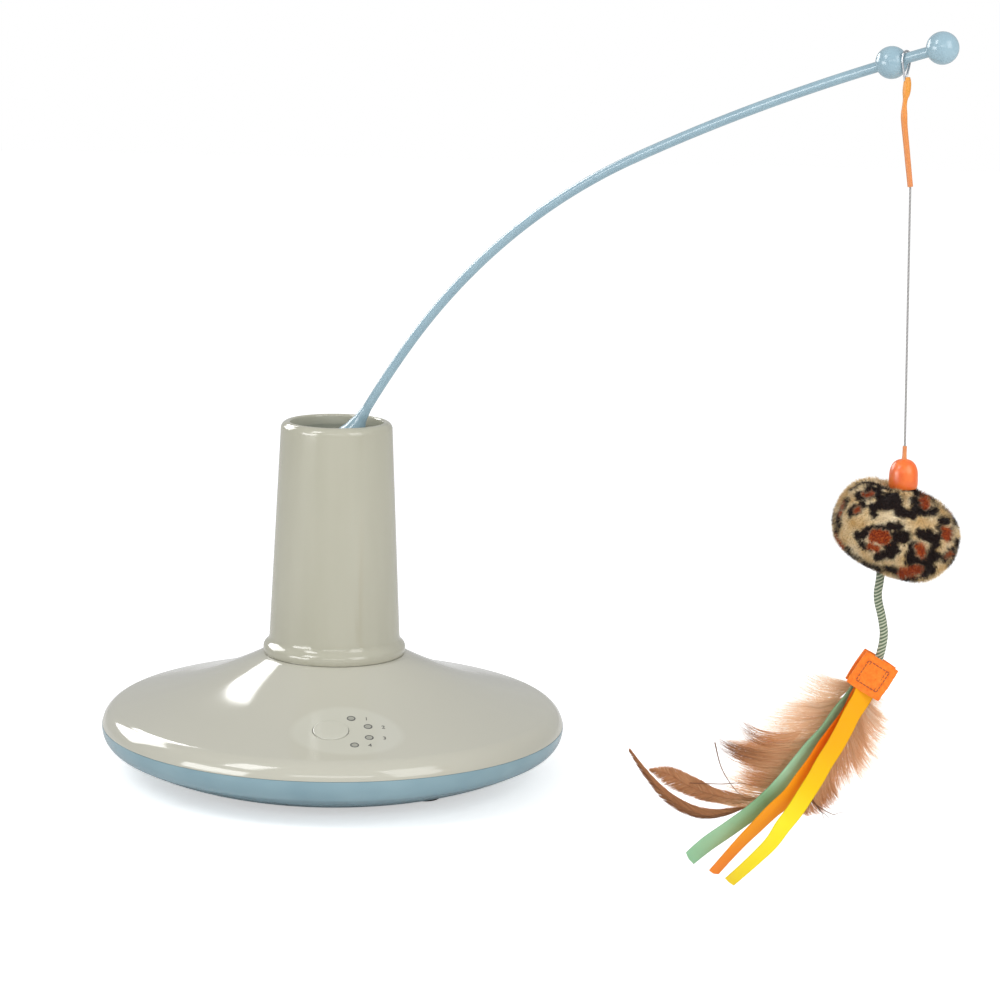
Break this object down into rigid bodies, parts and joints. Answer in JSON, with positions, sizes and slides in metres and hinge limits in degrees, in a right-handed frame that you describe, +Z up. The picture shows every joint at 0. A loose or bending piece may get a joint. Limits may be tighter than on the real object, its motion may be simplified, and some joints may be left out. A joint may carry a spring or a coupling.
{
  "type": "motorised cat toy",
  "caption": "Motorised cat toy: round base and tower turn a curved wand that swings a plush ball with ribbons and feathers.",
  "frame": {"origin": "the wand's turning axis at floor level, under the middle of the base", "axes": "+Z up along the turning axis; -Y towards the side with the button and lights; the wand rests 38 degrees from +X towards -Y"},
  "size_m": [0.4327, 0.3693, 0.4124],
  "materials": {
    "warm_grey_abs": "polished mould",
    "tower_grey_abs": "polished mould",
    "blue_abs": "polished mould",
    "wand_blue": "polished mould",
    "button_abs": "polished mould",
    "foot_rubber": "matt",
    "screw_steel": "zinc plated",
    "shaft_steel": "ground",
    "motor_case": "drawn",
    "cell_jacket": "plain sleeve",
    "gear_acetal": "moulded",
    "frame_abs": "moulded",
    "board_laminate": "solder resist",
    "lens_clear": "clear lens",
    "shrink_orange": "heat shrink",
    "line_grey": "twisted line",
    "bead_orange": "polished",
    "leopard_plush": "short pile with rosettes",
    "braid_green": "braided",
    "felt_orange": "felt",
    "satin_yellow": "satin",
    "satin_orange": "satin",
    "satin_green": "satin",
    "feather_tan": "feather"
  },
  "bodies": {
    "base": {"battery_cells": "cell_jacket", "battery_contacts": "shaft_steel", "board_screws": "screw_steel", "circuit_board": "board_laminate", "dome_shell": "warm_grey_abs", "first_gear_pin": "shaft_steel", "gear_frame_lower": "frame_abs", "gear_frame_upper": "frame_abs", "indicator_lens_1": "lens_clear", "indicator_lens_2": "lens_clear", "indicator_lens_3": "lens_clear", "indicator_lens_4": "lens_clear", "lower_shell": "blue_abs", "motor_can": "motor_case", "post_screws": "screw_steel", "rubber_feet": "foot_rubber", "second_gear_pin": "shaft_steel", "shell_screws": "screw_steel", "tact_switch": "frame_abs", "tower_bush": "gear_acetal", "tower_screws": "screw_steel", "tower_shell": "tower_grey_abs"},
    "rotor": {"drive_shaft": "shaft_steel", "shaft_clip": "screw_steel", "output_gear": "gear_acetal", "wand": "wand_blue"},
    "second_stage": {"second_gear": "gear_acetal"},
    "first_stage": {"first_gear": "gear_acetal"},
    "motor_rotor": {"motor_shaft": "shaft_steel", "motor_pinion": "gear_acetal"},
    "button": {"mode_button": "button_abs", "switch_plunger": "frame_abs"},
    "hatch": {"battery_door": "blue_abs", "door_screw": "screw_steel"},
    "loop": {"wire_loop": "shaft_steel", "loop_sleeve": "shrink_orange"},
    "line": {"lure_line": "line_grey", "line_ferrule": "shrink_orange", "orange_bead": "bead_orange", "plush_ball": "leopard_plush"},
    "tail": {"feather_broad": "feather_tan", "feather_left": "feather_tan", "feather_long": "feather_tan", "feather_right": "feather_tan", "felt_back": "felt_orange", "felt_front": "felt_orange", "ribbon_green": "satin_green", "ribbon_orange": "satin_orange", "ribbon_yellow": "satin_yellow", "tail_cord": "braid_green"}
  },
  "joints": [
    {"name": "wand_spin", "type": "hinge", "parent": "base", "child": "rotor", "pos_m": [0, 0, 0.1], "axis": [0, 0, 1], "continuous": true},
    {"name": "second_gear_spin", "type": "hinge", "parent": "base", "child": "second_stage", "pos_m": [-0.024, 0, 0.04], "axis": [0, 0, 1], "continuous": true},
    {"name": "first_gear_spin", "type": "hinge", "parent": "base", "child": "first_stage", "pos_m": [-0.0432, 0, 0.035], "axis": [0, 0, 1], "continuous": true},
    {"name": "motor_spin", "type": "hinge", "parent": "base", "child": "motor_rotor", "pos_m": [-0.0594, 0, 0.03], "axis": [0, 0, 1], "continuous": true},
    {"name": "mode_button_press", "type": "slide", "parent": "base", "child": "button", "axis": [-0.013, 0.2989, -0.9542], "range_m": [0, 0.0008], "stiffness_N_per_m": 1500},
    {"name": "battery_door_lift", "type": "slide", "parent": "base", "child": "hatch", "axis": [0, 0, -1], "range_m": [0, 0.03]},
    {"name": "loop_swing", "type": "hinge", "parent": "rotor", "child": "loop", "pos_m": [0.27048, -0.21132, 0.40007], "axis": [0.7584, -0.5925, 0.2716], "range_deg": [-45, 45]},
    {"name": "line_swing", "type": "hinge", "parent": "loop", "child": "line", "pos_m": [0.275, -0.21132, 0.34097], "axis": [0.6157, 0.788, 0], "range_deg": [-30, 30]},
    {"name": "tail_swing", "type": "hinge", "parent": "line", "child": "tail", "pos_m": [0.2694, -0.21132, 0.1574], "axis": [1, 0, 0], "range_deg": [-30, 30]}
  ],
  "couplings": [
    {"joint": "second_gear_spin", "follows": "wand_spin", "ratio": -4},
    {"joint": "first_gear_spin", "follows": "wand_spin", "ratio": 12},
    {"joint": "motor_spin", "follows": "wand_spin", "ratio": -52.8}
  ]
}
